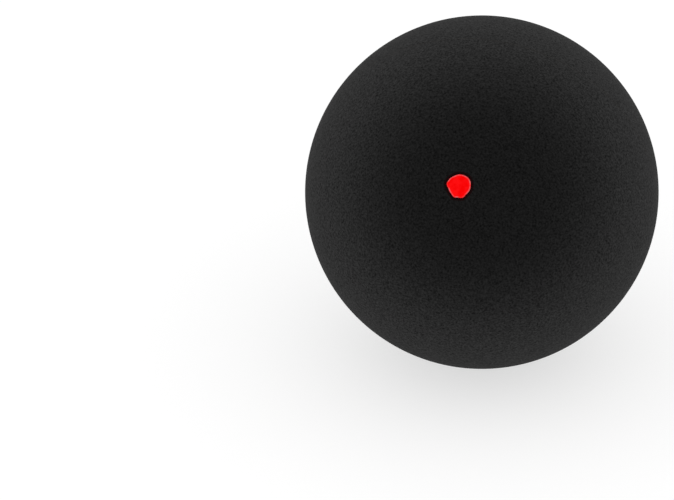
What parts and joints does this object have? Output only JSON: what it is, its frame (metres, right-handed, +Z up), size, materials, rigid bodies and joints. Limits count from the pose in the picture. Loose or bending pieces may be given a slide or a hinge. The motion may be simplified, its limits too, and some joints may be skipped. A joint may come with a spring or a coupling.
{
  "type": "squash ball",
  "caption": "Hollow matt black rubber squash ball of cemented half shells, with a red speed dot stamped on the front and a plain red band stamped on the rear.",
  "frame": {"origin": "centre of the ball", "axes": "+Z is up as the ball lies, -Y is the front, which carries the dot, and Y is the ball's axis, square to the cemented joint in the plane Y = 0"},
  "size_m": [0.04, 0.04, 0.04],
  "materials": {
    "buffed_rubber": "matt, finely buffed moulded rubber",
    "rubber_cement": "cured rubber cement, smooth where it squeezed out and buffed flush outside",
    "stamp_ink": "satin hot-stamped red ink"
  },
  "bodies": {
    "root": {"front_half_shell": "buffed_rubber", "rear_half_shell": "buffed_rubber", "seam_cement": "rubber_cement", "speed_dot": "stamp_ink", "print_band": "stamp_ink"}
  },
  "joints": []
}
